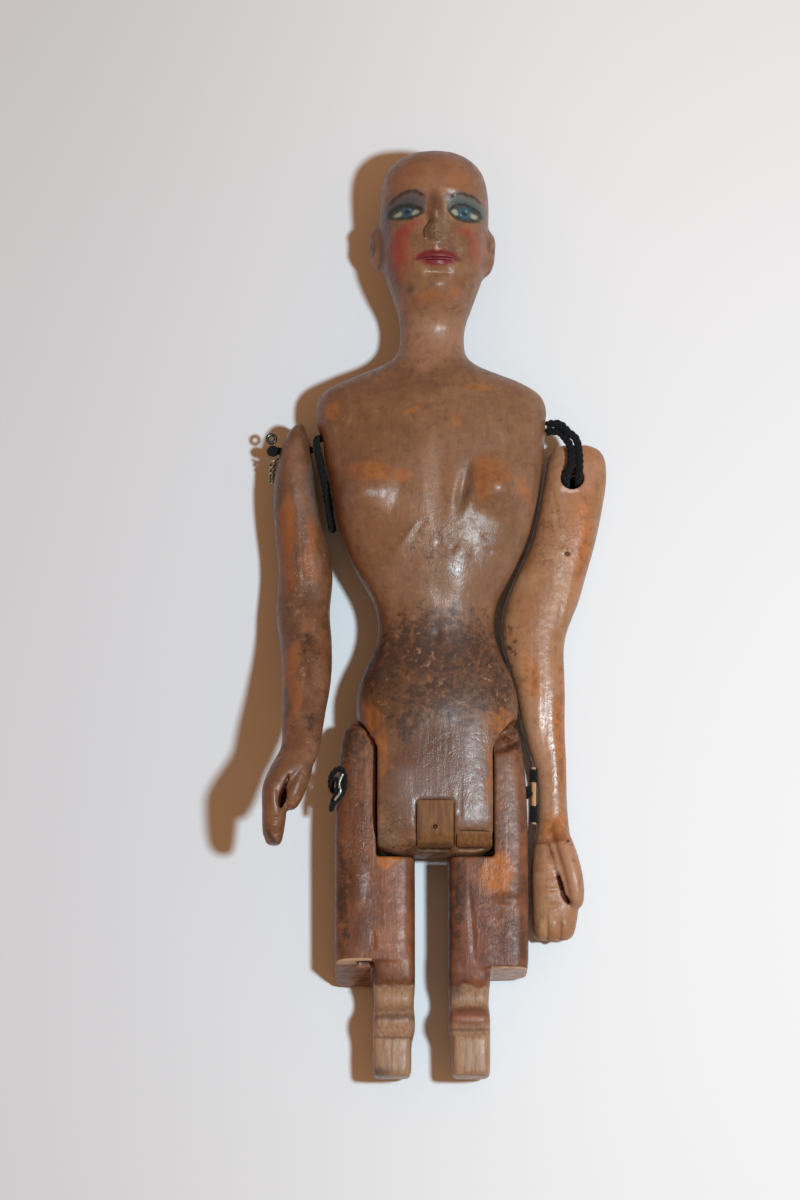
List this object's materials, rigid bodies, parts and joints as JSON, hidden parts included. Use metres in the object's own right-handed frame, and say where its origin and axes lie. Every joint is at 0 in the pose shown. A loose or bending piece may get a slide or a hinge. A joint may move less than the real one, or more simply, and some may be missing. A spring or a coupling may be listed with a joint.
{
  "type": "jointed wooden doll",
  "caption": "Carved and painted wooden doll lying on its back, strung at the shoulders and the hips with cord, with half lapped thighs and bare knee tongues.",
  "frame": {"origin": "middle of the flat between the shoulder blades, on the table that the doll lies on", "axes": "+Z out of the chest, +Y towards the crown, +X towards the doll's own left side"},
  "size_m": [0.0862, 0.2332, 0.0382],
  "materials": {
    "painted_skin": "old flesh coloured paint under a glossy varnish, rubbed through to orange ground at the high spots",
    "painted_thigh": "old reddish brown paint, satin, worn",
    "bare_wood": "bare fine grained wood, dull",
    "black_cord": "matt black twisted cord",
    "silver_wire": "tarnished silvery wire",
    "brass_wire": "tarnished pale brass wire",
    "dark_metal": "dark polished metal",
    "iron_nail": "dark rusty iron",
    "pale_peg": "pale worn wood"
  },
  "bodies": {
    "root": {"torso_head": "painted_skin", "pelvis_front_patch": "bare_wood", "pelvis_side_patch": "bare_wood", "patch_brad": "iron_nail", "crown_nail": "iron_nail", "shoulder_cord_core": "black_cord", "hip_cord_core": "black_cord", "right_cord_slack": "black_cord"},
    "right_arm": {"right_arm": "painted_skin", "right_shoulder_cord": "black_cord", "dark_ring": "dark_metal", "twisted_hook": "brass_wire"},
    "left_cord": {"left_cord_stub": "black_cord"},
    "left_arm": {"left_arm": "painted_skin", "left_cord_front_strand": "black_cord", "left_cord_back_strand": "black_cord", "left_cord_knot": "black_cord"},
    "right_thigh": {"right_thigh": "painted_thigh", "right_hip_cord": "black_cord", "right_hip_pin": "silver_wire"},
    "left_thigh": {"left_thigh": "painted_thigh", "left_hip_cord": "black_cord", "left_hip_toggle": "pale_peg", "left_hip_lashing_upper": "black_cord", "left_hip_lashing_lower": "black_cord"}
  },
  "joints": [
    {"name": "right_shoulder_swing", "type": "hinge", "parent": "root", "child": "right_arm", "pos_m": [-0.0295, 0.0029, 0.0108], "axis": [-1, 0, 0], "continuous": true},
    {"name": "left_shoulder_swing", "type": "hinge", "parent": "root", "child": "left_cord", "pos_m": [0.0287, 0.0079, 0.013], "axis": [-1, 0, 0], "continuous": true},
    {"name": "left_shoulder_spread", "type": "hinge", "parent": "left_cord", "child": "left_arm", "pos_m": [0.0302, 0.0079, 0.013], "axis": [0, 0, 1], "range_deg": [0, 30]},
    {"name": "right_hip_fold", "type": "hinge", "parent": "root", "child": "right_thigh", "pos_m": [0, -0.0847, 0.013], "axis": [-1, 0, 0], "range_deg": [0, 90]},
    {"name": "left_hip_fold", "type": "hinge", "parent": "root", "child": "left_thigh", "pos_m": [0, -0.0847, 0.013], "axis": [-1, 0, 0], "range_deg": [0, 90]}
  ]
}
